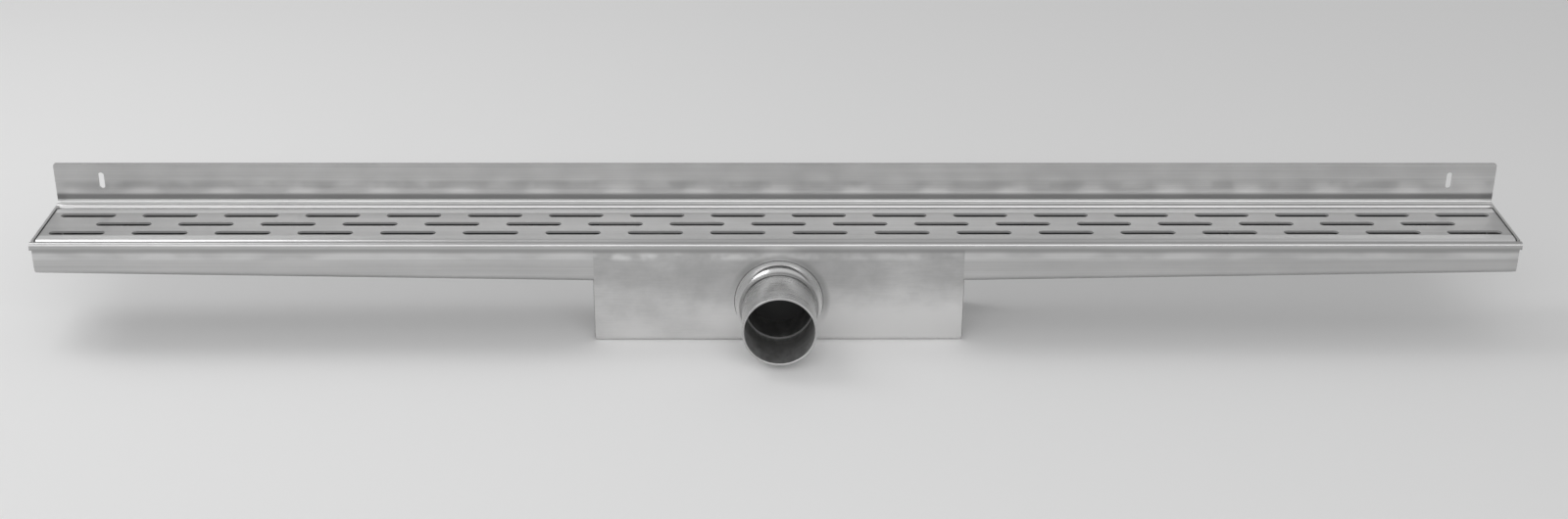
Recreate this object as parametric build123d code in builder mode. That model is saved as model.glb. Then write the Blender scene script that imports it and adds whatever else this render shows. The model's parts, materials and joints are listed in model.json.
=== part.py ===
from build123d import *
import os

os.makedirs("parts", exist_ok=True)

# Linear shower drain. X runs along the channel, the outlet points to -Y, the wall flange stands at +Y.
# The origin is under the middle of the channel, on the underside of the trap box.

# Driving dimensions in millimetres
length = 1000.0
sheet = 1.5

trough_width = 59.0  # between the inner faces of the walls
trough_depth_end = 24.3  # rim plane to underside of the trough, at its ends
trough_depth_box = 30.3  # the same where the floor reaches the trap box
trough_bend = 2.5  # inner radius of the folds at the floor
rim_bend = 1.0  # inner radius of the folds at the rims
front_rim_flat = 0.5  # between the folds of the front rim
front_hem_flat = 2.25  # below the outer fold of the front rim
back_rim_flat = 2.0  # between the folds of the back rim
flange_height = 29.0  # above the rim plane
flange_corner = 2.0
rim_overhang = 0.2  # the rims reach past the end walls
seam_drop = 6.0  # rim plane to the seam between channel and trap box

flange_slot_length = 12.0
flange_slot_width = 4.0
flange_slot_rise = 16.3  # rim plane to the middle of a slot
flange_slot_inset = 32.0  # end of the channel to the middle of a slot

box_length = 250.0
lip_length = 7.5  # the trough floor reaches this far past the box's outer face

grate_side_gap = 1.0
grate_drop = 1.0  # rim plane to the top of the grate
grate_leg = 9.0
grate_bend = 2.5
grate_end_gap = 0.5
slot_length = 37.5
slot_width = 6.0
slot_pitch = 55.7
slot_end_margin = 4.0  # least distance from a slot to the end of the grate
row_pitch = 14.5

rib_sheet = 2.0
rib_side_gap = 0.2
rib_seat_gap = 0.05
rib_box_gap = 47.0  # trap box to the first rib on each side
rib_end_gap = 49.8  # last rib to the end of the trough
ribs_per_side = 3
arch_width = 30.0
arch_height = 9.0
arch_corner = 4.0

spigot_radius = 25.0
spigot_wall = 1.5
spigot_reach = 47.0  # front plate to the mouth
spigot_edge = 0.3
swage_step = 0.4  # the tube is drawn in by this much where it enters the collar
swage_groove = 0.5  # the drawn-in length that shows in front of the collar
collar_wall = 4.8
collar_lip = 0.8  # flat ring between the shoulder's end and the tube
collar_rim = 1.5  # straight part against the front plate
collar_length = 12.0
collar_foot_gap = 0.6  # collar to the underside of the box
sleeve_wall = 1.2
sleeve_setback = 37.0  # mouth to the sleeve's edge
sleeve_inside = 12.5  # inner face of the front plate to the sleeve's inner end

cup_wall = 2.0
cup_plate_gap = 0.3
weir_above_axis = 2.6  # outlet's axis to the top of the weir
weir_passage = 13.0  # weir cup to the hood's back wall

gasket_wall = 1.3
gasket_lip = 1.5
gasket_lip_rise = 1.5
hood_wall = 2.0
hood_side_passage = 8.2  # gasket to the outside of the hood
hood_ceiling_gap = 0.3  # gasket to the hood's ceiling
hood_plate_gap = 2.5  # front plate to the hood's front wall
hood_dip = 24.0  # how far the skirt reaches under the top of the weir
hood_corner = 4.0
hood_top_round = 1.5
foot_width = 6.0
foot_gap = 0.1
grip_length = 30.0
grip_sheet = 3.0
grip_height = 6.0
grip_corner = 2.5
grip_head_room = 5.5  # grip to the underside of the grate

strainer_sheet = 1.0
strainer_gap = 0.5
strainer_hood_gap = 1.5
strainer_hole = 5.5  # side of a square hole
strainer_pitch = 12.0
strainer_margin = 6.0  # least distance from a hole's middle to the edge

# Places worked out from the sizes above: the outlet and its trap set the overall height
collar_radius = spigot_radius + collar_wall
outlet_height = collar_radius + collar_foot_gap
swage_radius = spigot_radius - swage_step
sleeve_radius = spigot_radius - spigot_wall
cup_radius = sleeve_radius + cup_wall
notch_radius = cup_radius + gasket_wall
gasket_radius = notch_radius + gasket_lip
hood_top = outlet_height + gasket_radius + hood_ceiling_gap + hood_wall
grate_top = hood_top + grip_height + grip_head_room + sheet
height = grate_top + grate_drop  # the rim plane
half_length = length / 2
wall_in = trough_width / 2
wall_out = wall_in + sheet
wall_middle = wall_in + sheet / 2
trough_end = half_length - rim_overhang
box_end = box_length / 2
floor_end = height - trough_depth_end
floor_box = height - trough_depth_box
seam = height - seam_drop
rim_middle = height - sheet / 2
fold = rim_bend + sheet / 2  # radius of a rim fold in the middle of the sheet
flange_middle = wall_middle + back_rim_flat + 2 * fold
hem_middle = wall_middle + front_rim_flat + 2 * fold
hem_foot = rim_middle - fold - front_hem_flat
flat_half = wall_in - trough_bend
front_plate = -wall_out
front_inside = -wall_in


def floor_underside(x):
    """Height of the trough's underside at a distance x from the middle of the channel."""
    return floor_box + (floor_end - floor_box) * (abs(x) - box_end) / (trough_end - box_end)


# Channel tray: the right half of the trough is a sloped prism with a sloped hollow
past_end = 5.0
with BuildPart() as trough_hollow:
    with BuildSketch(Plane.XZ):
        with BuildLine():
            Polyline(
                (box_end - past_end, floor_underside(box_end - past_end) + sheet),
                (trough_end + past_end, floor_underside(trough_end + past_end) + sheet),
                (trough_end + past_end, seam + past_end),
                (box_end - past_end, seam + past_end),
                close=True,
            )
        make_face()
    extrude(amount=wall_in, both=True)
    floor_edges = trough_hollow.faces().sort_by(Axis.Z)[0].edges().filter_by(Plane.XZ)
    fillet(floor_edges, trough_bend)

with BuildPart() as trough_half:
    with BuildSketch(Plane.XZ):
        with BuildLine():
            Polyline(
                (box_end, floor_box),
                (trough_end, floor_end),
                (trough_end, seam),
                (box_end, seam),
                close=True,
            )
        make_face()
    extrude(amount=wall_out, both=True)
    outer_edges = trough_half.faces().sort_by(Axis.Z)[0].edges().filter_by(Plane.XZ)
    fillet(outer_edges, trough_bend + sheet)
    add(trough_hollow.part, mode=Mode.SUBTRACT)

with BuildPart() as channel_tray:
    add(trough_half.part)
    mirror(about=Plane.YZ)
    # Lips of the floor, which carry the strainer inside the box
    with BuildSketch(Plane.XY.offset(floor_box)):
        with Locations((box_end - lip_length / 2, 0), (lip_length / 2 - box_end, 0)):
            Rectangle(lip_length, 2 * flat_half)
    extrude(amount=sheet)
    # Wall flange and back rim
    with BuildSketch(Plane.YZ):
        with BuildLine():
            FilletPolyline(
                (flange_middle, height + flange_height),
                (flange_middle, rim_middle),
                (wall_middle, rim_middle),
                (wall_middle, seam),
                radius=fold,
            )
        trace(line_width=sheet)
    extrude(amount=half_length, both=True)
    # Front rim and hem
    with BuildSketch(Plane.YZ):
        with BuildLine():
            FilletPolyline(
                (-hem_middle, hem_foot),
                (-hem_middle, rim_middle),
                (-wall_middle, rim_middle),
                (-wall_middle, seam),
                radius=fold,
            )
        trace(line_width=sheet)
    extrude(amount=half_length, both=True)
    # Upper corners and fixing slots of the wall flange
    flange_ends = channel_tray.edges().filter_by(Axis.Y).group_by(Axis.Z)[-1]
    fillet(flange_ends, flange_corner)
    flange_back = Plane.XZ.offset(-(flange_middle + sheet))
    with BuildSketch(flange_back):
        slot_place = half_length - flange_slot_inset
        with Locations(
            (-slot_place, height + flange_slot_rise),
            (slot_place, height + flange_slot_rise),
        ):
            SlotOverall(flange_slot_length, flange_slot_width, rotation=90)
    extrude(amount=2 * sheet, mode=Mode.SUBTRACT)

channel_tray.part.label = "channel_tray"
export_step(channel_tray.part, "parts/channel_tray.step")


# End plates: they fill the trough's section, flush with the ends of its walls
def end_plate(name, side):
    with BuildPart() as plate:
        start = trough_end if side > 0 else -trough_end + sheet
        with BuildSketch(Plane.YZ.offset(start - sheet)):
            with BuildLine():
                foot = floor_underside(trough_end) + sheet
                Polyline(
                    (-wall_in, height),
                    (-wall_in, foot),
                    (wall_in, foot),
                    (wall_in, height),
                    close=True,
                )
            make_face()
        extrude(amount=sheet)
        fillet(plate.edges().filter_by(Axis.X).group_by(Axis.Z)[0], trough_bend)
    plate.part.label = name
    export_step(plate.part, f"parts/{name}.step")


end_plate("end_plate_left", -1)
end_plate("end_plate_right", 1)

# Trap box: front plate, base and back plate are one folded sheet, pierced for the outlet
outlet_plane = Plane(origin=(0, front_plate, outlet_height), x_dir=(1, 0, 0), z_dir=(0, -1, 0))
with BuildPart() as trap_box:
    with BuildSketch(Plane.YZ):
        with BuildLine():
            FilletPolyline(
                (-wall_middle, seam),
                (-wall_middle, sheet / 2),
                (wall_middle, sheet / 2),
                (wall_middle, seam),
                radius=trough_bend + sheet / 2,
            )
        trace(line_width=sheet)
    extrude(amount=box_end, both=True)
    with BuildSketch(outlet_plane):
        Circle(swage_radius)
    extrude(amount=-2 * sheet, mode=Mode.SUBTRACT)

trap_box.part.label = "trap_box"
export_step(trap_box.part, "parts/trap_box.step")


# Box sides: they fill the fold and rise at their corners to meet the rounded trough
def box_side(name, side):
    start = box_end - sheet if side > 0 else -box_end
    with BuildPart() as plate:
        with BuildSketch(Plane.YZ.offset(start)) as outline:
            corner_top = floor_box + sheet + trough_bend
            with Locations((0, sheet)):
                Rectangle(trough_width, corner_top - sheet, align=(Align.CENTER, Align.MIN))
            fillet(outline.vertices().group_by(Axis.Z)[0], trough_bend)
            with Locations((0, floor_box + sheet)):
                RectangleRounded(
                    trough_width,
                    trough_depth_box,
                    trough_bend,
                    align=(Align.CENTER, Align.MIN),
                    mode=Mode.SUBTRACT,
                )
            with Locations((0, floor_box)):
                Rectangle(
                    2 * flat_half,
                    2 * sheet,
                    align=(Align.CENTER, Align.MIN),
                    mode=Mode.SUBTRACT,
                )
        extrude(amount=sheet)
    plate.part.label = name
    export_step(plate.part, f"parts/{name}.step")


box_side("box_side_left", -1)
box_side("box_side_right", 1)

# Outlet collar: turned about the outlet's axis, with a long round shoulder from the plate down to the tube
collar_shoulder = collar_wall - collar_lip
outlet_section = Plane(origin=(0, 0, outlet_height), x_dir=(1, 0, 0), z_dir=(0, 0, 1))
outlet_axis = Axis((0, 0, outlet_height), (0, 1, 0))
with BuildPart() as outlet_collar:
    with BuildSketch(outlet_section):
        with BuildLine():
            collar_end = front_plate - collar_length
            Polyline(
                (collar_radius, front_plate - collar_rim),
                (collar_radius, front_plate),
                (swage_radius, front_plate),
                (swage_radius, collar_end),
                (collar_radius - collar_shoulder, collar_end),
            )
            TangentArc(
                (collar_radius, front_plate - collar_rim),
                (collar_radius - collar_shoulder, collar_end),
                tangent=(0, -1),
            )
        make_face()
    revolve(axis=outlet_axis)

outlet_collar.part.label = "outlet_collar"
export_step(outlet_collar.part, "parts/outlet_collar.step")

# Outlet spigot: a tube from the inner face of the front plate to the mouth
spigot_mouth = front_plate - spigot_reach
swage_length = sheet + collar_length + swage_groove
with BuildPart() as outlet_spigot:
    with BuildSketch(outlet_plane.offset(swage_length - sheet)):
        Circle(spigot_radius)
    extrude(amount=spigot_reach + sheet - swage_length)
    with BuildSketch(outlet_plane.offset(-sheet)):
        Circle(swage_radius)
    extrude(amount=swage_length)
    with BuildSketch(outlet_plane.offset(-sheet)):
        Circle(sleeve_radius)
    extrude(amount=spigot_reach + sheet, mode=Mode.SUBTRACT)
    mouth = outlet_spigot.faces().sort_by(Axis.Y)[0]
    chamfer(mouth.edges(), spigot_edge)

outlet_spigot.part.label = "outlet_spigot"
export_step(outlet_spigot.part, "parts/outlet_spigot.step")

# Outlet sleeve: carries the tube from inside and reaches into the box
sleeve_bore = sleeve_radius - sleeve_wall
sleeve_start = spigot_mouth + sleeve_setback
sleeve_end = front_inside + sleeve_inside
with BuildPart() as outlet_sleeve:
    with BuildSketch(outlet_plane.offset(front_plate - sleeve_end)):
        Circle(sleeve_radius)
        Circle(sleeve_bore, mode=Mode.SUBTRACT)
    extrude(amount=sleeve_end - sleeve_start)

outlet_sleeve.part.label = "outlet_sleeve"
export_step(outlet_sleeve.part, "parts/outlet_sleeve.step")

# Weir cup: a ring on the sleeve's end, with an end wall that dams the lower part of the bore
weir_height = outlet_height + weir_above_axis
cup_ring_length = sleeve_inside - cup_plate_gap
with BuildPart() as weir_cup:
    with BuildSketch(outlet_plane.offset(front_plate - sleeve_end)):
        Circle(cup_radius)
        Circle(sleeve_radius, mode=Mode.SUBTRACT)
    extrude(amount=cup_ring_length)
    with BuildSketch(outlet_plane.offset(front_plate - sleeve_end)):
        Circle(cup_radius)
        with BuildSketch(outlet_plane.offset(front_plate - sleeve_end), mode=Mode.SUBTRACT):
            Circle(sleeve_bore)
            with Locations((0, weir_height - outlet_height)):
                Rectangle(
                    2 * cup_radius,
                    2 * cup_radius,
                    align=(Align.CENTER, Align.MIN),
                    mode=Mode.INTERSECT,
                )
    extrude(amount=-cup_wall)

weir_cup.part.label = "weir_cup"
export_step(weir_cup.part, "parts/weir_cup.step")

# Trap hood: a moulded cap, open below, notched to straddle the weir cup
hood_front = front_inside + hood_plate_gap
hood_back = sleeve_end + cup_wall + weir_passage + hood_wall
hood_depth = hood_back - hood_front
hood_width = 2 * (gasket_radius + hood_side_passage + hood_wall)
hood_skirt = weir_height - hood_dip


def straddle(radius, foot):
    """Outline of an upside-down U round the outlet, down to the height foot, in the outlet's plane."""
    Circle(radius)
    Rectangle(2 * radius, outlet_height - foot, align=(Align.CENTER, Align.MAX))


with BuildPart() as trap_hood:
    hood_middle = (hood_front + hood_back) / 2
    with BuildSketch(Plane.XY.offset(hood_skirt)):
        with Locations((0, hood_middle)):
            RectangleRounded(hood_width, hood_depth, hood_corner)
    extrude(amount=hood_top - hood_skirt)
    fillet(trap_hood.edges().group_by(Axis.Z)[-1], hood_top_round)
    offset(amount=-hood_wall, openings=trap_hood.faces().sort_by(Axis.Z)[0])
    with BuildSketch(outlet_plane.offset(front_plate - hood_front - hood_wall)):
        straddle(notch_radius, 0)
    extrude(amount=2 * hood_wall, mode=Mode.SUBTRACT)
    # Feet on the base of the box
    foot_place = hood_width / 2 - hood_corner - foot_width / 2
    with BuildSketch(Plane.XY.offset(sheet + foot_gap)):
        with Locations((foot_place, hood_middle), (-foot_place, hood_middle)):
            with GridLocations(0.0, hood_depth - hood_wall, 1, 2):
                Rectangle(foot_width, hood_wall)
    extrude(amount=hood_skirt - sheet - foot_gap)
    # Finger grip
    with BuildSketch(Plane.XZ.offset(-hood_middle)) as grip:
        with Locations((0, hood_top)):
            Rectangle(grip_length, grip_height, align=(Align.CENTER, Align.MIN))
        fillet(grip.vertices().group_by(Axis.Z)[-1], grip_corner)
    extrude(amount=grip_sheet / 2, both=True)

trap_hood.part.label = "trap_hood"
export_step(trap_hood.part, "parts/trap_hood.step")

# Hood gasket: a rubber edge round the hood's notch, grooved for the hood's wall
gasket_front = hood_front - gasket_lip_rise
with BuildPart() as hood_gasket:
    with BuildSketch(outlet_plane.offset(front_plate - gasket_front)):
        straddle(gasket_radius, hood_skirt)
    extrude(amount=-(hood_wall + 2 * gasket_lip_rise))
    with BuildSketch(outlet_plane.offset(front_plate - gasket_front)):
        straddle(cup_radius, 0)
    extrude(amount=-(hood_wall + 2 * gasket_lip_rise), mode=Mode.SUBTRACT)
    with BuildSketch(outlet_plane.offset(front_plate - hood_front)) as groove:
        straddle(2 * notch_radius, 0)
        with BuildSketch(outlet_plane.offset(front_plate - hood_front), mode=Mode.SUBTRACT):
            straddle(notch_radius, 0)
    extrude(amount=-hood_wall, mode=Mode.SUBTRACT)
    # The lower half of the outline is open, so only the upside-down U stays
    with BuildSketch(Plane.XY):
        Rectangle(4 * notch_radius, 4 * notch_radius)
    extrude(amount=hood_skirt, mode=Mode.SUBTRACT)

hood_gasket.part.label = "hood_gasket"
export_step(hood_gasket.part, "parts/hood_gasket.step")

# Hair strainer: a perforated plate on the lips of the floor, notched round the hood
with BuildPart() as hair_strainer:
    strainer_length = box_length - 2 * (sheet + strainer_gap)
    strainer_width = trough_width - 2 * strainer_gap
    notch_half = hood_width / 2 + strainer_hood_gap
    notch_back = hood_back + strainer_hood_gap
    with BuildSketch(Plane.XY.offset(floor_box + sheet)):
        Rectangle(strainer_length, strainer_width)
        with Locations((0, notch_back)):
            Rectangle(
                2 * notch_half,
                strainer_width,
                align=(Align.CENTER, Align.MAX),
                mode=Mode.SUBTRACT,
            )
        columns = int((strainer_length - 2 * strainer_margin) // strainer_pitch) + 1
        rows = int((strainer_width - 2 * strainer_margin) // strainer_pitch) + 1
        clear = strainer_margin - strainer_gap
        for hole in GridLocations(strainer_pitch, strainer_pitch, columns, rows).locations:
            beside = abs(hole.position.X) > notch_half + clear
            behind = hole.position.Y > notch_back + clear
            if beside or behind:
                with Locations(hole):
                    Rectangle(strainer_hole, strainer_hole, mode=Mode.SUBTRACT)
    extrude(amount=strainer_sheet)

hair_strainer.part.label = "hair_strainer"
export_step(hair_strainer.part, "parts/hair_strainer.step")

# Grate: folded cover with staggered slots. Its two folds are pieces of their own, parted where they begin
grate_half = trough_end - sheet - grate_end_gap
grate_width = trough_width - 2 * grate_side_gap
slot_room = 2 * (grate_half - slot_end_margin) - slot_length
slots_outer_row = int(slot_room // slot_pitch) + 1
fold_begins = grate_width / 2 - sheet - grate_bend
with BuildPart() as folded_cover:
    with BuildSketch(Plane.YZ):
        with BuildLine():
            leg_middle = (grate_width - sheet) / 2
            FilletPolyline(
                (-leg_middle, grate_top - grate_leg),
                (-leg_middle, grate_top - sheet / 2),
                (leg_middle, grate_top - sheet / 2),
                (leg_middle, grate_top - grate_leg),
                radius=grate_bend + sheet / 2,
            )
        trace(line_width=sheet)
    extrude(amount=grate_half, both=True)
    with BuildSketch(Plane.XY.offset(grate_top)):
        with GridLocations(slot_pitch, 2 * row_pitch, slots_outer_row, 2):
            SlotOverall(slot_length, slot_width)
        with GridLocations(slot_pitch, row_pitch, slots_outer_row - 1, 1):
            SlotOverall(slot_length, slot_width)
    extrude(amount=-2 * sheet, mode=Mode.SUBTRACT)

with BuildPart() as grate:
    add(folded_cover.part)
    split(bisect_by=Plane.XZ.offset(fold_begins), keep=Keep.BOTTOM)
    split(bisect_by=Plane.XZ.offset(-fold_begins), keep=Keep.TOP)

with BuildPart() as grate_fold_front:
    add(folded_cover.part)
    split(bisect_by=Plane.XZ.offset(fold_begins), keep=Keep.TOP)

with BuildPart() as grate_fold_back:
    add(folded_cover.part)
    split(bisect_by=Plane.XZ.offset(-fold_begins), keep=Keep.BOTTOM)

grate_fold_front.part.label = "grate_fold_front"
export_step(grate_fold_front.part, "parts/grate_fold_front.step")
grate_fold_back.part.label = "grate_fold_back"
export_step(grate_fold_back.part, "parts/grate_fold_back.step")
grate.part.label = "grate"
export_step(grate.part, "parts/grate.step")

# Grate ribs: cross plates on the sloped floor, arched for the water, which carry the folds of the grate
rib_half = wall_in - rib_side_gap
rib_top = grate_top - grate_leg - rib_seat_gap
rib_first = box_end + rib_box_gap
rib_last = trough_end - rib_end_gap
rib_pitch = (rib_last - rib_first) / (ribs_per_side - 1)
rib_places = [
    side * (rib_first + number * rib_pitch)
    for side in (-1, 1)
    for number in range(ribs_per_side)
]
for number, place in enumerate(sorted(rib_places), start=1):
    name = f"grate_rib_{number}"
    rib_foot = floor_underside(abs(place) + rib_sheet / 2) + sheet + rib_seat_gap
    with BuildPart() as rib:
        with BuildSketch(Plane.YZ.offset(place - rib_sheet / 2)) as outline:
            with Locations((0, rib_foot)):
                Rectangle(
                    2 * rib_half,
                    rib_top - rib_foot,
                    align=(Align.CENTER, Align.MIN),
                )
            chamfer(outline.vertices().group_by(Axis.Z)[0], trough_bend)
            with Locations((0, rib_foot - arch_corner)):
                RectangleRounded(
                    arch_width,
                    arch_height + arch_corner,
                    arch_corner,
                    align=(Align.CENTER, Align.MIN),
                    mode=Mode.SUBTRACT,
                )
        extrude(amount=rib_sheet)
    rib.part.label = name
    export_step(rib.part, f"parts/{name}.step")
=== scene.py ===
# %% [markdown]
# A linear shower drain in satin stainless steel.
# This lesson dresses a finished metal model: the sheets, the tube and the trap come from a CAD file at
# their true size, and Blender adds what CAD leaves out, which is the grain of the steel, its soft stains
# and the small weld beads that hold the sheets together.
# Each cell makes one thing and says why it is made that way.

import math

import bpy
from mathutils import Matrix, Vector
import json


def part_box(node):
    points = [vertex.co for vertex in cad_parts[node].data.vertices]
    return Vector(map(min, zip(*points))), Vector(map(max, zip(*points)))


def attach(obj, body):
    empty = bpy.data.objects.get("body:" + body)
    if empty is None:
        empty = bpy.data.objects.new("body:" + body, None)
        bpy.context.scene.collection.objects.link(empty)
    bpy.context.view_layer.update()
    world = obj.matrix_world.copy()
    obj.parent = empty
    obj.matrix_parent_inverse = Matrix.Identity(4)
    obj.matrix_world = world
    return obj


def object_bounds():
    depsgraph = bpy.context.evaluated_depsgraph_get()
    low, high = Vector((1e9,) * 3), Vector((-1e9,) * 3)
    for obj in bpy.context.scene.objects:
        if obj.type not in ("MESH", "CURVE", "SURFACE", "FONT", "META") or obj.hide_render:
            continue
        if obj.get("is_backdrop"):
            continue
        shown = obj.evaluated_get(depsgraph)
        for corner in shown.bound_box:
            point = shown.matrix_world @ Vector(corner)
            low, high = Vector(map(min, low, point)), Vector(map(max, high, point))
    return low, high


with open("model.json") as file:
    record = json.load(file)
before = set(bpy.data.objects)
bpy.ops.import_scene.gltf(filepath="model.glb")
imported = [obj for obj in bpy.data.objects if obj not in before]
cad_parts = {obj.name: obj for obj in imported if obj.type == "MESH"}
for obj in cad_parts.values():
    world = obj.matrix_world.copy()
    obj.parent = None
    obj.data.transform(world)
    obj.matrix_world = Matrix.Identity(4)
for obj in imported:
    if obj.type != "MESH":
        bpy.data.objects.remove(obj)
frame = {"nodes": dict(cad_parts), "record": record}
cad_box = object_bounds()
nodes = frame["nodes"]
print("pieces from CAD:", len(nodes))
print("CAD box:", [[round(v, 4) for v in corner] for corner in cad_box])

# %% [markdown]
# The sizes that the looks need are read off the pieces themselves.
# The outlet's axis is the middle of its tube, the box's corners come from its side plates, and the rim's
# height and the walls' distance come from the end plates, which stand between the walls. So a pattern or
# a bead always lands where the metal is.

# %% Sizes that are read from the pieces
tube_low, tube_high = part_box("outlet_spigot")
collar_low, collar_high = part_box("outlet_collar")
side_low, side_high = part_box("box_side_right")
end_low, end_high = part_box("end_plate_right")
grate_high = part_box("grate")[1]
tray_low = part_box("channel_tray")[0]
axis_height = (tube_low[2] + tube_high[2]) / 2
collar_radius = (collar_high[0] - collar_low[0]) / 2
plate_front = collar_high[1]
sheet = side_high[0] - side_low[0]
half_width = end_high[1] + sheet
rim_height = end_high[2]
print("outlet axis %.4f  collar radius %.4f  sheet %.4f" % (axis_height, collar_radius, sheet))
print("half width %.4f  rim height %.4f" % (half_width, rim_height))


# %% [markdown]
# Work in edit mode acts on whatever is selected, and the imported pieces arrive selected.
# So each new piece starts from an empty selection, and a small helper sees to that.

# %% Start each piece from an empty selection
def clear_selection():
    if bpy.context.object and bpy.context.object.mode != "OBJECT":
        bpy.ops.object.mode_set(mode="OBJECT")
    bpy.ops.object.select_all(action="DESELECT")


clear_selection()
print("selected:", len(bpy.context.selected_objects))

# %% [markdown]
# The camera stands in front of the drain, a little to the left of its middle, and looks down by 25 degrees.
# Its place was fitted to the outline of the real drain in the photograph: a 50 mm lens about 1.5 m away,
# with a very small roll. The fit gives the focal length in pixels of the picture, and the sensor's width
# turns it into millimetres. A camera turn is easiest to follow as three turns, one after the other: about
# the upright axis, then the tilt down, then the roll about the line of sight.

# %% Camera
view_turn = math.radians(-0.9)
view_tilt = math.radians(25.05)
view_roll = math.radians(0.35)
picture_width = 1600
focal_length_in_pixels = 2219.9
clear_selection()
bpy.ops.object.camera_add(location=(-0.01753, -1.35715, 0.68144))
camera = bpy.context.object
camera.name = "photo_camera"
turned = Matrix.Rotation(view_turn, 3, "Z")
tilted = Matrix.Rotation(math.radians(90) - view_tilt, 3, "X")
rolled = Matrix.Rotation(view_roll, 3, "Z")
camera.rotation_euler = (turned @ tilted @ rolled).to_euler()
camera.data.sensor_fit = "HORIZONTAL"
camera.data.sensor_width = 36
camera.data.lens = focal_length_in_pixels * camera.data.sensor_width / picture_width
camera.data.clip_start = 0.01
bpy.context.scene.camera = camera
print("lens %.2f mm" % camera.data.lens)


# %% [markdown]
# A material in Blender is a small program made of nodes. Written node by node, its sums are hard to read.
# The class below wraps one socket, so that a sum or a product of two sockets can be written as such, and
# each sign adds the Math node that it stands for.

# %% Write shader sums as plain sums
class Wire:
    """One output socket in a material's nodes."""

    def __init__(self, finish, socket):
        self.finish = finish
        self.socket = socket

    def maths(self, operation, *others):
        return self.finish.add("ShaderNodeMath", {"operation": operation}, [self, *others])

    def __add__(self, other):
        return self.maths("ADD", other)

    __radd__ = __add__

    def __sub__(self, other):
        return self.maths("SUBTRACT", other)

    def __rsub__(self, other):
        return self.finish.add("ShaderNodeMath", {"operation": "SUBTRACT"}, [other, self])

    def __mul__(self, other):
        return self.maths("MULTIPLY", other)

    def __abs__(self):
        return self.maths("ABSOLUTE")


print("sums of sockets are ready")


# %% [markdown]
# A finish is one material. Every node in it is added by one method, which takes the node's type, its
# settings and what goes into its sockets, so the other methods are only short names for common nodes.
# Patterns are read from object coordinates, which are metres here, so they don't stretch with a piece.

# %% One finish and its common nodes
class Finish:
    """A material whose nodes are added one after another."""

    def __init__(self, name):
        self.material = bpy.data.materials.new(name)
        self.material.use_nodes = True
        self.tree = self.material.node_tree
        self.shader = self.tree.nodes["Principled BSDF"]
        self.coordinates = None

    def connect(self, value, socket):
        if isinstance(value, Wire):
            self.tree.links.new(value.socket, socket)
        else:
            socket.default_value = value

    def add(self, kind, settings, sockets, output=0):
        node = self.tree.nodes.new(kind)
        for key, value in settings.items():
            setattr(node, key, value)
        pairs = sockets.items() if isinstance(sockets, dict) else enumerate(sockets)
        for key, value in pairs:
            self.connect(value, node.inputs[key])
        return Wire(self, node.outputs[output])

    def place(self):
        if self.coordinates is None:
            self.coordinates = self.add("ShaderNodeTexCoord", {}, [], "Object")
        return self.coordinates

    def along(self, axis):
        return self.add("ShaderNodeSeparateXYZ", {}, [self.place()], axis)

    def facing(self, axis):
        normal = self.add("ShaderNodeTexCoord", {}, [], "Normal")
        return self.add("ShaderNodeSeparateXYZ", {}, [normal], axis)

    def noise_over(self, vector, detail, rough):
        sockets = {"Vector": vector, "Scale": 1.0, "Detail": detail, "Roughness": rough}
        return self.add("ShaderNodeTexNoise", {}, sockets)

    def noise(self, stretch, detail, rough):
        spread = self.add("ShaderNodeMapping", {}, {"Vector": self.place(), "Scale": stretch})
        return self.noise_over(spread, detail, rough)

    def between(self, value, low, high):
        settings = {"interpolation_type": "SMOOTHSTEP"}
        return self.add("ShaderNodeMapRange", settings, {"Value": value, "From Min": low, "From Max": high})

    def blend(self, share, dark, light):
        settings = {"data_type": "RGBA"}
        return self.add("ShaderNodeMix", settings, {0: share, 6: dark, 7: light}, 2)

    def bump(self, height, strength, distance):
        sockets = {"Height": height, "Strength": strength, "Distance": distance}
        return self.add("ShaderNodeBump", {}, sockets)

    def finish_with(self, **sockets):
        for key, value in sockets.items():
            self.connect(value, self.shader.inputs[key.replace("_", " ")])
        return self.material


def grey(value, warmth=0.0):
    return (value * (1 + warmth), value, value * (1 - warmth), 1)


print("a middle grey:", grey(0.5))

# %% [markdown]
# Satin stainless sheet is a mirror that has been rubbed along one direction with a fine abrasive belt.
# The belt leaves hair-thin grooves, so the sheet looks streaked along its length and blurs what it
# reflects. On top lie wide, faint clouds from rolling and smaller smears from wiping.
# A noise that is stretched hundreds of times along the drain makes the grooves, and slower ones make the
# clouds and smears. All of them go into colour and roughness. The grooves also go into a very shallow
# bump, since a deep one would look like combed plaster.

# %% Streaks, clouds and smears of brushed sheet
# The pale grey that the painted highlights below are blended towards.
fully_rubbed = grey(0.95)


def brushed(finish, rough, cloud):
    fine = finish.noise((6, 1500, 1500), 2.0, 0.6)
    coarse = finish.noise((2.5, 260, 260), 3.0, 0.55)
    clouds = finish.noise((7, 16, 16), 3.0, 0.5)
    smears = finish.noise((38, 90, 90), 4.0, 0.6)
    streaks = fine * 0.55 + coarse * 0.45
    shade = streaks * 0.5 + clouds * 0.35 + smears * 0.15
    gloss = rough + (clouds - 0.5) * cloud * 2
    gloss = gloss + (streaks - 0.5) * 0.12 + (smears - 0.5) * 0.05
    return streaks, clouds, shade, gloss


def steel_tint(finish, shade, tone):
    return finish.blend(finish.between(shade, 0.2, 0.82), grey(tone * 0.78), grey(tone * 1.16, 0.004))


def band(finish, value, middle, core, edge):
    """A mask that is 1 within core of the middle and fades out at edge."""
    return 1 - finish.between(abs(value - middle), core, edge)


print("fully rubbed steel:", fully_rubbed)
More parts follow.
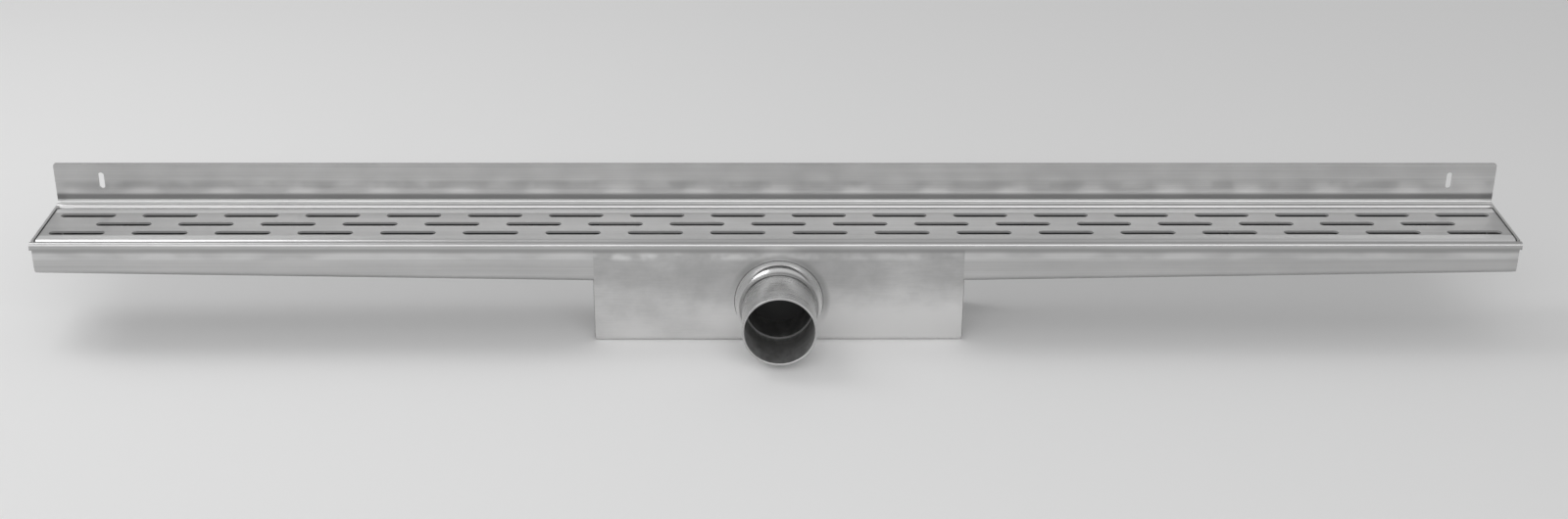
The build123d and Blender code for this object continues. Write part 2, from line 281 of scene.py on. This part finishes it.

# %% [markdown]
# The channel is folded on a press. Its colour also holds painted light and shade: a darker band of painted
# shade runs along the foot of the wall flange, with a row of faint painted reflections of the slots half
# way up, and a band of painted shadow lies just under the front rim, with a paler, patchy painted highlight
# below it. The back rim has a painted highlight, the front rim a little painted shade, and the trough's
# inside is darkened with painted shade.
# Each mark is a mask: a number from 0 to 1, worked out from the height, from the place on the sheet or
# from the way that the face looks. Masks are multiplied where both have to hold.

# %% Places of the marks
fold_top = rim_height + 0.0017
smudge_row = rim_height + 0.0132
dull_row = rim_height - 0.0062
rolled_row = rim_height - 0.011


def outer_face(finish, distance):
    """A mask of the walls' outer faces, worked out from the distance to the drain's middle."""
    return finish.between(distance, half_width - 0.001, half_width - 0.0005)


def front_facing(finish):
    return finish.between(0 - finish.facing("Y"), 0.6, 0.9)


# The band of painted shadow just under the front rim.
def dull_band(finish, height):
    return band(finish, height, dull_row, 0.0014, 0.0036)


print("rows of marks:", [round(row, 4) for row in (smudge_row, fold_top, dull_row, rolled_row)])


# %% Channel sheet
def channel_finish(name, tone, rough):
    finish = Finish(name)
    streaks, _, shade, gloss = brushed(finish, rough, 0.06)
    from_middle = abs(finish.along("X"))
    across = finish.along("Y")
    height = finish.along("Z")

    on_flange = front_facing(finish) * finish.between(across, half_width - 0.001, half_width)
    # Painted shade along the foot of the wall flange.
    pressed = finish.between(height, fold_top, fold_top + 0.0012)
    pressed = pressed * (1 - finish.between(height, fold_top + 0.0034, fold_top + 0.0064)) * on_flange
    # Painted reflections of the grate's slots, a row of dark blots half way up the flange.
    blots = finish.noise((34, 20, 20), 2.0, 0.5)
    smudges = band(finish, height, smudge_row, 0.0012, 0.0042) * on_flange
    smudges = smudges * finish.between(blots, 0.42, 0.56)
    on_wall = outer_face(finish, 0 - across)
    # Painted shadow just under the front rim.
    under_rim = dull_band(finish, height) * on_wall
    # A paler, patchy band of painted highlight below that shadow.
    patches = finish.noise((30, 20, 60), 2.0, 0.5)
    rolled = band(finish, height, rolled_row, 0.0006, 0.0045) * on_wall
    rolled = rolled * finish.between(patches, 0.3, 0.7)

    # Painted highlight on the back rim.
    on_back = finish.between(across, half_width - 0.0005, half_width)
    back_rim = finish.between(height, rim_height - 0.001, rim_height) * on_back
    back_rim = back_rim * (1 - finish.between(height, fold_top - 0.001, fold_top))

    # Painted shade over the trough's inside, below the grate.
    inner_wall = half_width - sheet
    hidden = 1 - finish.between(abs(across), inner_wall - 0.0002, inner_wall + 0.0002)
    hidden = hidden * (1 - finish.between(from_middle, end_low[0] - 0.001, end_low[0] - 0.0004))
    hidden = hidden * (1 - finish.between(height, grate_high[2] - 0.01, grate_high[2] - 0.005))

    # Painted shade on the front rim.
    on_front = finish.between(0 - across, half_width, half_width + 0.001)
    front_rim = finish.between(height, grate_high[2] - 0.002, grate_high[2] - 0.001) * on_front

    tint = steel_tint(finish, shade, tone)
    tint = finish.blend(pressed, tint, grey(tone * 0.36))
    tint = finish.blend(front_rim * 0.3, tint, grey(tone * 0.6))
    tint = finish.blend(smudges * 0.3, tint, grey(tone * 0.5))
    tint = finish.blend(under_rim * 0.6, tint, grey(tone * 0.5))
    tint = finish.blend(rolled * 0.36, tint, fully_rubbed)
    tint = finish.blend(back_rim * 0.3, tint, fully_rubbed)
    tint = finish.blend(hidden * 0.92, tint, grey(tone * 0.22))
    return finish.finish_with(
        Base_Color=tint,
        Metallic=1.0,
        Roughness=gloss + pressed * 0.06 + hidden * 0.15,
        Normal=finish.bump(streaks, 0.05, 0.0003),
    )


channel_sheet = channel_finish("satin_channel_sheet", 0.56, 0.34)
print("channel:", channel_sheet.name)

# %% [markdown]
# The grate's two long margins are painted paler, a painted highlight: the back one along its whole length,
# and the front one mostly towards the ends. Its slots are punched, and their cut edges are dull and less
# metallic, and painted a little darker as shade in the slots. Below the top sheet the folds and the ribs
# get painted shade, which also keeps the slots as deep-looking as they are on the real drain.


# %% Grate sheet
margin_start = grate_high[1] - 0.0065


def grate_finish(name, tone, rough):
    finish = Finish(name)
    streaks, clouds, shade, gloss = brushed(finish, rough, 0.04)
    across = finish.along("Y")
    height = finish.along("Z")
    top = grate_high[2]
    edge_on = 1 - finish.between(abs(finish.facing("Z")), 0.2, 0.6)
    cut = edge_on * finish.between(height, top - sheet - 0.0002, top - sheet)
    # Painted highlight along the two long margins of the grate.
    back_margin = finish.between(across, margin_start, margin_start + 0.002)
    front_margin = finish.between(0 - across, margin_start, margin_start + 0.002)
    towards_ends = finish.between(abs(finish.along("X")), 0.22, 0.46)
    rubbed = back_margin + front_margin * (towards_ends * 0.55 + 0.1)
    rubbed = rubbed * (1 - cut) * (clouds * 0.4 + 0.8)
    # Painted shade below the top sheet.
    hidden = 1 - finish.between(height, top - 0.0035, top - 0.0018)
    # The cut edges are dull and less metallic, and their colour is a little darker as painted shade in the
    # slots.
    tint = steel_tint(finish, shade - cut * 0.2, tone)
    tint = finish.blend(rubbed, tint, fully_rubbed)
    tint = finish.blend(hidden * 0.92, tint, grey(tone * 0.22))
    return finish.finish_with(
        Base_Color=tint,
        Metallic=1 - cut * 0.6,
        Roughness=gloss + cut * 0.4 + hidden * 0.15,
        Normal=finish.bump(streaks, 0.04, 0.0003),
    )


grate_sheet = grate_finish("satin_grate_sheet", 0.56, 0.32)
print("grate:", grate_sheet.name)

# %% [markdown]
# The trap box is made of the same sheet, but it is welded all round and then pickled in acid.
# Pickling takes the shine off in soft patches, so the box looks cloudier than the channel and hardly
# brushed. Towards its foot the box is painted paler, a painted reflection of the floor. Three noises of
# different size make the patches, and the height is added to them, so that the pale foot has a ragged edge
# too. Its top edge is welded under the rim. Just under the rim it has the same band of painted shadow as
# the channel, and below that a band of patchy painted highlight, more of it to the left. A dark halo of
# painted shadow lies on the front round the collar, mostly above the collar and to its right.


# %% Pickled sheet of the box
weld_row = rim_height - 0.0115


def from_outlet_axis(finish):
    """How far a point lies sideways of the outlet's axis, above it and straight away from it."""
    sideways = finish.along("X")
    up = finish.along("Z") - axis_height
    return sideways, up, (sideways * sideways + up * up).maths("SQRT")


def pickled_sheet(name, tone, rough):
    finish = Finish(name)
    grain = finish.noise((60, 900, 900), 2.0, 0.6)
    clouds = finish.noise((20, 24, 30), 4.0, 0.55)
    blots = finish.noise((64, 70, 80), 4.0, 0.6)
    drifts = finish.noise((11, 14, 18), 2.0, 0.5)
    patches = finish.noise((64, 30, 90), 2.0, 0.5)
    sideways, up, out = from_outlet_axis(finish)
    across = finish.along("Y")
    height = finish.along("Z")
    # Painted reflection of the floor: the lower part of the box is painted paler.
    low = 1 - finish.between(height, 0.0, 0.055)
    outer = outer_face(finish, abs(across))
    # A patchy band of painted highlight below the rim, more of it to the left.
    ground = band(finish, height, weld_row, 0.0003, 0.0042) * finish.between(patches, 0.36, 0.7)
    ground = ground * outer * (1 - finish.between(sideways, -0.07, 0.03) * 0.5)
    # Painted shadow just under the rim.
    under_rim = dull_band(finish, height) * outer
    in_front = outer_face(finish, 0 - across)
    # A painted shadow round the collar, mostly above it and to its right.
    heated = (1 - finish.between(out, collar_radius + 0.002, collar_radius + 0.006)) * in_front
    heated = heated * finish.between(up + sideways * 0.4, -0.012, 0.016)
    shade = clouds * 0.42 + drifts * 0.22 + blots * 0.26 + grain * 0.1
    shade = shade + low * (drifts * 0.6 + 0.14)
    tint = finish.blend(finish.between(shade, 0.3, 0.95), grey(tone * 0.76), grey(tone * 1.42, 0.004))
    tint = finish.blend(under_rim * 0.6, tint, grey(tone * 0.5))
    tint = finish.blend(ground * 0.6, tint, fully_rubbed)
    tint = finish.blend(heated * 0.6, tint, grey(tone * 0.5))
    return finish.finish_with(
        Base_Color=tint,
        Metallic=1.0,
        Roughness=rough + (clouds - 0.5) * 0.16 + (blots - 0.5) * 0.08,
        Normal=finish.bump(grain * 0.6 + blots * 0.4, 0.06, 0.0004),
    )


box_sheet = pickled_sheet("pickled_box_sheet", 0.55, 0.38)
print("box:", box_sheet.name)

# %% [markdown]
# The outlet tube and its collar are turned on a lathe, so their fine lines run round the axis.
# The distance from the axis and the place along it are the same all round a turned part, so a noise
# that is read from those two numbers alone gives lines that close on themselves. A little of the angle
# is mixed in, so that the lines are not perfect rings. The collar's shoulder is polished, and painted paler
# as a painted highlight, except for its foot by the weld, which stays matt. The joint where the tube enters
# the collar is dark, and the mouth's cut edge is a little dull. Inside, the tube is painted pale near its
# mouth, as painted light falling in. Further in it is mottled by a noise and darkened with painted shade,
# darkest in front of the sleeve, and the step inside and the sleeve itself are nearly black with painted
# shade.


# %% Turned tube
mouth = -tube_low[1]
tube_radius = tube_high[0]
sleeve_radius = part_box("outlet_sleeve")[1][0]
lines_per_metre = 1100


def turned_metal(name, tone, rough):
    finish = Finish(name)
    sideways, up, out = from_outlet_axis(finish)
    forward = 0 - finish.along("Y")
    angle = up.maths("ARCTAN2", sideways)
    lathe_place = [forward * lines_per_metre, out * lines_per_metre, angle * 0.7]
    lines = finish.noise_over(finish.add("ShaderNodeCombineXYZ", {}, lathe_place), 2.0, 0.6)
    clouds = finish.noise((40, 40, 40), 3.0, 0.55)
    stains = finish.noise((150, 90, 150), 4.0, 0.65)

    inside = 1 - finish.between(out, tube_radius - 0.0017, tube_radius - 0.0012)
    # Painted shade on the step inside the tube.
    ledge = inside * front_facing(finish)
    # Painted light inside the tube, near its mouth.
    near_mouth = inside * finish.between(forward, mouth - 0.03, mouth)
    near_mouth = near_mouth * (finish.between(stains, 0.34, 0.62) * 0.5 + 0.5)
    bore = inside * finish.between(out, sleeve_radius - 0.0003, sleeve_radius - 0.0001)
    # Painted shade in the bore, darkest in front of the sleeve.
    pools = bore * (1 - finish.between(forward, mouth - 0.036, mouth - 0.016))
    pools = pools * finish.between(stains, 0.38, 0.58)
    brim = (1 - inside) * finish.between(forward, mouth - 0.0006, mouth - 0.0002)
    # The shoulder is polished, and its paler colour is a painted highlight.
    shoulder = finish.between(out, tube_radius + 0.001, tube_radius + 0.003)
    # Painted shade on the sleeve's wall.
    sleeve_wall = 1 - finish.between(out, sleeve_radius - 0.0011, sleeve_radius - 0.0007)
    joint = band(finish, forward, -collar_low[1], 0.0006, 0.002) * (1 - inside)
    matt_foot = shoulder * (1 - finish.between(forward + plate_front, 0.003, 0.006))

    shade = lines * 0.55 + clouds * 0.45 + inside * (stains - 0.55) * 1.6
    tint = finish.blend(finish.between(shade, 0.2, 0.8), grey(tone * 0.74), grey(tone * 1.16, 0.004))
    tint = finish.blend(near_mouth + shoulder * 0.8, tint, fully_rubbed)
    tint = finish.blend(pools * 0.75, tint, grey(tone * 0.15))
    tint = finish.blend(joint * 0.7 + brim * 0.2, tint, grey(tone * 0.4))
    tint = finish.blend(sleeve_wall * 0.6, tint, grey(tone * 0.1))
    tint = finish.blend(ledge * 0.75, tint, grey(tone * 0.2))
    gloss = rough + (clouds - 0.5) * 0.1 + (lines - 0.5) * 0.12
    return finish.finish_with(
        Base_Color=tint,
        Metallic=1.0,
        Roughness=gloss + inside * 0.32 - shoulder * 0.08 + matt_foot * 0.3,
        Normal=finish.bump(lines, 0.05, 0.0003),
    )


outlet_tube = turned_metal("turned_outlet_tube", 0.67, 0.28)
print("tube:", outlet_tube.name)

# %% [markdown]
# The strainer is thin perforated sheet, and it is always damp, which leaves lime clouds on it.
# The cup and the hood of the trap are moulded in black polypropylene: it is not glossy, and the mould
# leaves an even, slightly pebbled skin. The gasket is softer and duller than the plastic.


# %% Strainer, plastic and rubber
def damp_sheet(name, tone, rough):
    finish = Finish(name)
    streaks, _, shade, gloss = brushed(finish, rough, 0.08)
    tint = steel_tint(finish, shade, tone)
    return finish.finish_with(
        Base_Color=tint,
        Metallic=1.0,
        Roughness=gloss,
        Normal=finish.bump(streaks, 0.05, 0.0003),
    )


def moulded(name, tone, rough, pebble, depth):
    finish = Finish(name)
    skin = finish.noise((pebble, pebble, pebble), 2.0, 0.5)
    haze = finish.noise((45, 45, 45), 3.0, 0.5)
    tint = finish.blend(finish.between(haze, 0.3, 0.7), grey(tone * 0.85), grey(tone * 1.2))
    return finish.finish_with(
        Base_Color=tint,
        Roughness=rough + (haze - 0.5) * 0.15,
        Normal=finish.bump(skin, depth, 0.0003),
    )


strainer_sheet = damp_sheet("damp_strainer_sheet", 0.56, 0.38)
trap_plastic = moulded("moulded_trap_plastic", 0.02, 0.58, 1400, 0.12)
gasket_rubber = moulded("black_gasket_rubber", 0.014, 0.7, 2200, 0.2)
print("trap:", strainer_sheet.name, trap_plastic.name, gasket_rubber.name)

# %% [markdown]
# A CAD piece keeps its own mesh, and its look is changed by putting a new material in its slots.
# Which finish goes where follows the material slots that the model's record gives.

# %% Put the finishes on the pieces
finishes = {
    "channel_sheet": channel_sheet,
    "grate_sheet": grate_sheet,
    "box_sheet": box_sheet,
    "outlet_tube": outlet_tube,
    "strainer_sheet": strainer_sheet,
    "trap_plastic": trap_plastic,
    "gasket_rubber": gasket_rubber,
}
for part in frame["record"]["subparts"]:
    piece = nodes[part["node"]]
    for place in piece.material_slots:
        place.material = finishes[part["material_slot"]]

# %% [markdown]
# The sheets are welded from outside with a fine arc. The weld metal is steel too, but it sets with a
# skin of dross, so a fine noise makes it rough and uneven in colour. The acid has cleaned the beads of
# the sheets. The collar's bead is painted darker all round, as painted shade.

# %% Weld finish
def weld_finish(name, dark, pale):
    finish = Finish(name)
    dross = finish.noise((500, 500, 500), 3.0, 0.6)
    return finish.finish_with(
        Base_Color=finish.blend(dross, grey(dark), grey(pale)),
        Metallic=1.0,
        Roughness=0.34 + (dross - 0.5) * 0.2,
        Normal=finish.bump(dross, 0.15, 0.0003),
    )


weld_metal = weld_finish("pickled_weld", 0.36, 0.58)
# The collar's bead is painted darker, as painted shade.
collar_weld_metal = weld_finish("shaded_collar_weld", 0.16, 0.28)
print("welds:", weld_metal.name, collar_weld_metal.name)

# %% [markdown]
# The arc leaves a narrow bead with small ripples, one for each drop of metal. A bead could be a bump on
# the sheet, but it stands proud of it and catches the light along its whole length, so it is modelled.
# It starts as a small circle that stands across the seam. The circle is extruded a step at a time along
# the seam, and every second ring is a little wider, which gives the ripples.

# %% Lay a straight or turning bead
ripple = 1.16
ripple_pitch = 0.0012


def lay_bead(name, path, radius):
    """path runs in a plane of one X, and each step is about as long as one ripple."""
    clear_selection()
    start = path[0]
    heading = math.atan2(path[1][2] - start[2], path[1][1] - start[1])
    bpy.ops.mesh.primitive_circle_add(vertices=10, radius=radius, fill_type="NGON", location=start)
    bead = bpy.context.object
    bead.name = name
    bead.rotation_euler = (heading - math.radians(90), 0, 0)
    bpy.ops.object.transform_apply(location=True, rotation=True, scale=True)
    bpy.ops.object.mode_set(mode="EDIT")
    wide = False
    for before, after, beyond in zip(path, path[1:], path[2:] + [None]):
        step = [b - a for a, b in zip(before, after)]
        bpy.ops.mesh.extrude_region_move(TRANSFORM_OT_translate={"value": step})
        if beyond is not None:
            onward = math.atan2(beyond[2] - after[2], beyond[1] - after[1])
            turn = math.atan2(math.sin(onward - heading), math.cos(onward - heading))
            if abs(turn) > 1e-4:
                bpy.ops.transform.rotate(value=-turn, orient_axis="X", center_override=after)
            heading = onward
        size = 1 / ripple if wide else ripple
        bpy.ops.transform.resize(value=(size, size, size), center_override=after)
        wide = not wide
    bpy.ops.mesh.select_all(action="SELECT")
    bpy.ops.mesh.normals_make_consistent(inside=False)
    bpy.ops.object.mode_set(mode="OBJECT")
    bpy.ops.object.shade_smooth()
    bpy.ops.object.origin_set(type="ORIGIN_CURSOR")
    bead.data.materials.append(weld_metal)
    return bead


def straight(start, end):
    steps = max(2, round((Vector(end) - Vector(start)).length / ripple_pitch))
    return [tuple(Vector(start).lerp(Vector(end), n / steps)) for n in range(steps + 1)]


print("rings along 10 mm of bead:", len(straight((0, 0, 0), (0, 0.01, 0))))

# %% [markdown]
# Three kinds of seam show on the outside. The plates that close the box and the trough sit between the
# walls, so their seams have the shape of a U with rounded corners. The third kind runs across under
# each half of the trough, where the box begins.
# The left and right of the drain are alike, so one bead of each kind is laid and the others are copies.

# %% The path of a U-shaped seam
plate_bend = 0.0025


def plate_seam(x, half, foot, top):
    """Down one side of a plate, round its corner, across its foot and up the other side."""
    down = straight((x, -half, top), (x, -half, foot + plate_bend))
    corner = []
    for degrees in (22.5, 45, 67.5):
        y = -half + plate_bend * (1 - math.cos(math.radians(degrees)))
        z = foot + plate_bend * (1 - math.sin(math.radians(degrees)))
        corner.append((x, y, z))
    across = straight((x, -half + plate_bend, foot), (x, half - plate_bend, foot))
    other_side = [(x, -y, z) for x, y, z in reversed(down + corner)]
    return down + corner + across + other_side


print("corner radius of the plates: %.4f" % plate_bend)

# %% Beads of the right half
bead_radius = 0.0006
end_bead_radius = bead_radius * 0.9
end_seam_top = rim_height - 0.003
box_end = side_high[0]
end_path = plate_seam(end_high[0], end_high[1], end_low[2], end_seam_top)
end_bead = lay_bead("end_plate_weld_right", end_path, end_bead_radius)
side_path = plate_seam(box_end, side_high[1], side_low[2], tray_low[2])
side_bead = lay_bead("box_side_weld_right", side_path, bead_radius)
floor_half = half_width - 0.003
floor_path = straight((box_end, -floor_half, tray_low[2]), (box_end, floor_half, tray_low[2]))
floor_bead = lay_bead("box_floor_weld_right", floor_path, bead_radius)
print("bead rings:", len(end_path), len(side_path), len(floor_path))


# %% [markdown]
# A copy of a bead is turned over with a mirror in edit mode. A mirrored shape is inside out, so its
# normals are worked out again.

# %% Copy the beads to the left half
def mirrored_bead(bead):
    clear_selection()
    bead.select_set(True)
    bpy.context.view_layer.objects.active = bead
    bpy.ops.object.duplicate()
    other = bpy.context.object
    other.name = bead.name.replace("right", "left")
    bpy.ops.object.mode_set(mode="EDIT")
    bpy.ops.mesh.select_all(action="SELECT")
    bpy.ops.transform.resize(value=(-1, 1, 1), center_override=(0, 0, 0))
    bpy.ops.mesh.normals_make_consistent(inside=False)
    bpy.ops.object.mode_set(mode="OBJECT")
    return other


beads = [end_bead, side_bead, floor_bead]
beads += [mirrored_bead(bead) for bead in beads]
print("beads of the plates:", [bead.name for bead in beads])

# %% [markdown]
# The collar is welded to the front plate with a bead that runs right round its foot.
# For a ring, spinning a small circle about the outlet's axis is quicker than extruding it step by step.
# The ripples come from every second ring of points, which is picked out by its angle and fattened. So the
# number of rings has to be even, or two wide ones would meet where the bead closes.

# %% Bead round the collar
clear_selection()
ring_radius = 0.0005
ring_ripple = 0.00008
ring_steps = 2 * round(math.tau * collar_radius / ripple_pitch / 2)
ring_start = (collar_radius, plate_front, axis_height)
bpy.ops.mesh.primitive_circle_add(vertices=10, radius=ring_radius, location=ring_start)
ring = bpy.context.object
ring.name = "collar_weld"
bpy.ops.object.transform_apply(location=True, rotation=True, scale=True)
bpy.ops.object.mode_set(mode="EDIT")
bpy.ops.mesh.select_all(action="SELECT")
bpy.ops.mesh.spin(steps=ring_steps, angle=math.tau, center=(0, plate_front, axis_height), axis=(0, 1, 0))
bpy.ops.mesh.select_all(action="SELECT")
bpy.ops.mesh.remove_doubles(threshold=0.00001)
bpy.ops.mesh.normals_make_consistent(inside=False)
bpy.ops.mesh.select_all(action="DESELECT")
bpy.ops.object.mode_set(mode="OBJECT")
for point in ring.data.vertices:
    angle = math.atan2(point.co.z - axis_height, point.co.x) / math.tau * ring_steps
    point.select = round(angle) % 2 == 0
bpy.ops.object.mode_set(mode="EDIT")
bpy.ops.transform.shrink_fatten(value=ring_ripple)
bpy.ops.object.mode_set(mode="OBJECT")
bpy.ops.object.shade_smooth()
bpy.ops.object.origin_set(type="ORIGIN_CURSOR")
ring.data.materials.append(collar_weld_metal)
beads.append(ring)
print("collar bead rings:", ring_steps, " points:", len(ring.data.vertices))

# %% [markdown]
# Each bead belongs to the drain's one rigid body, and keeps its own weld finish.

# %% Fasten the beads to the drain
for bead in beads:
    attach(bead, "root")
print("beads on the drain:", len(beads))

# %% [markdown]
# The drain stands on a plain pale floor. A large plane is enough, because the camera looks down on it.
# The floor is matt, so that the metal gets its brightness from it without a hard mirror image.

# %% Floor
clear_selection()
bpy.ops.mesh.primitive_plane_add(size=30, location=(0, 0, cad_box[0][2]))
floor = bpy.context.object
floor.name = "floor"
pale = Finish("pale_floor")
floor.data.materials.append(pale.finish_with(Base_Color=grey(0.86), Roughness=0.9, Specular_IOR_Level=0.1))
floor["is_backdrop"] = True
print("floor at", floor.location[2])

# %% [markdown]
# Metal shows its surroundings more than its own colour, so the light has to be wide and even.
# The sky is a plain grey. It is a touch paler to the left and in front, because the light of the picture
# comes from there.

# %% World
sky_grey = 0.58
sky_lean = (-0.08, -0.06, 0)
world = bpy.data.worlds.new("studio")
bpy.context.scene.world = world
world.use_nodes = True
sky = world.node_tree
sky.nodes.clear()


def sky_node(kind, operation=None, second=None):
    node = sky.nodes.new(kind)
    if operation:
        node.operation = operation
    if second is not None:
        node.inputs[1].default_value = second
    return node


direction = sky_node("ShaderNodeTexCoord")
leaning = sky_node("ShaderNodeVectorMath", "DOT_PRODUCT", sky_lean)
shade = sky_node("ShaderNodeMath", "ADD", sky_grey)
sky.links.new(direction.outputs["Generated"], leaning.inputs[0])
sky.links.new(leaning.outputs["Value"], shade.inputs[0])
print("sky shade:", sky_grey)

# %% [markdown]
# The camera, mirror images and glass see the sky at full strength. It lights the drain a little more
# weakly, so that the shadow on the floor stays. The Light Path node tells the kinds of ray apart, and a
# mix of two backgrounds picks the one for each ray.

# %% Camera and mirror rays see the full sky
sky_light = 0.8
seen = sky_node("ShaderNodeBackground", None, 1.0)
fill = sky_node("ShaderNodeBackground", None, sky_light)
ray = sky_node("ShaderNodeLightPath")
camera_or_mirror = sky_node("ShaderNodeMath", "MAXIMUM")
any_view = sky_node("ShaderNodeMath", "MAXIMUM")
pick = sky_node("ShaderNodeMixShader")
shown = sky_node("ShaderNodeOutputWorld")
for background in (seen, fill):
    sky.links.new(shade.outputs[0], background.inputs["Color"])
sky.links.new(ray.outputs["Is Camera Ray"], camera_or_mirror.inputs[0])
sky.links.new(ray.outputs["Is Glossy Ray"], camera_or_mirror.inputs[1])
sky.links.new(camera_or_mirror.outputs[0], any_view.inputs[0])
sky.links.new(ray.outputs["Is Transmission Ray"], any_view.inputs[1])
sky.links.new(any_view.outputs[0], pick.inputs[0])
sky.links.new(fill.outputs[0], pick.inputs[1])
sky.links.new(seen.outputs[0], pick.inputs[2])
sky.links.new(pick.outputs[0], shown.inputs["Surface"])
print("world:", world.name)


# %% [markdown]
# One wide soft panel hangs above and behind the camera. It is long, because the drain is, and it draws
# the pale lines along the folds. A smaller one hangs to the left and a little behind the drain, and draws
# the pale crescent on the collar's shoulder. The third makes the left flank of the tube the paler one.
# All three are turned to the drain's foot, which is the origin. The Standard view shows each colour as it
# is written, with no curve over it.

# %% Soft panels
def soft_panel(name, place, width, depth, watts):
    clear_selection()
    bpy.ops.object.light_add(type="AREA", location=place)
    panel = bpy.context.object
    panel.name = name
    panel.data.shape = "RECTANGLE"
    panel.data.size = width
    panel.data.size_y = depth
    panel.data.energy = watts
    panel.rotation_euler = (-Vector(place)).to_track_quat("-Z", "Y").to_euler()
    return panel


soft_panel("front_panel", (0.1, -2.1, 1.55), 3.2, 1.3, 24)
soft_panel("collar_panel", (-0.96, 0.3, 1.12), 0.5, 1.0, 4.2)
soft_panel("left_panel", (-1.25, -0.95, 1.35), 0.8, 0.6, 1.5)
bpy.context.scene.view_settings.view_transform = "Standard"

# %% [markdown]
# The last cell notes the size of the finished drain beside that of the CAD model.
# The looks may not change the size, so the two agree, apart from the weld beads of the end plates, which
# stand 0.4 mm proud at both ends.

# %% Note the sizes and finish
import json

finished_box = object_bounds()
for corner, before, after in zip(("low", "high"), cad_box, finished_box):
    print(corner, "corner moved by (mm):", [round((b - a) * 1000, 2) for a, b in zip(before, after)])
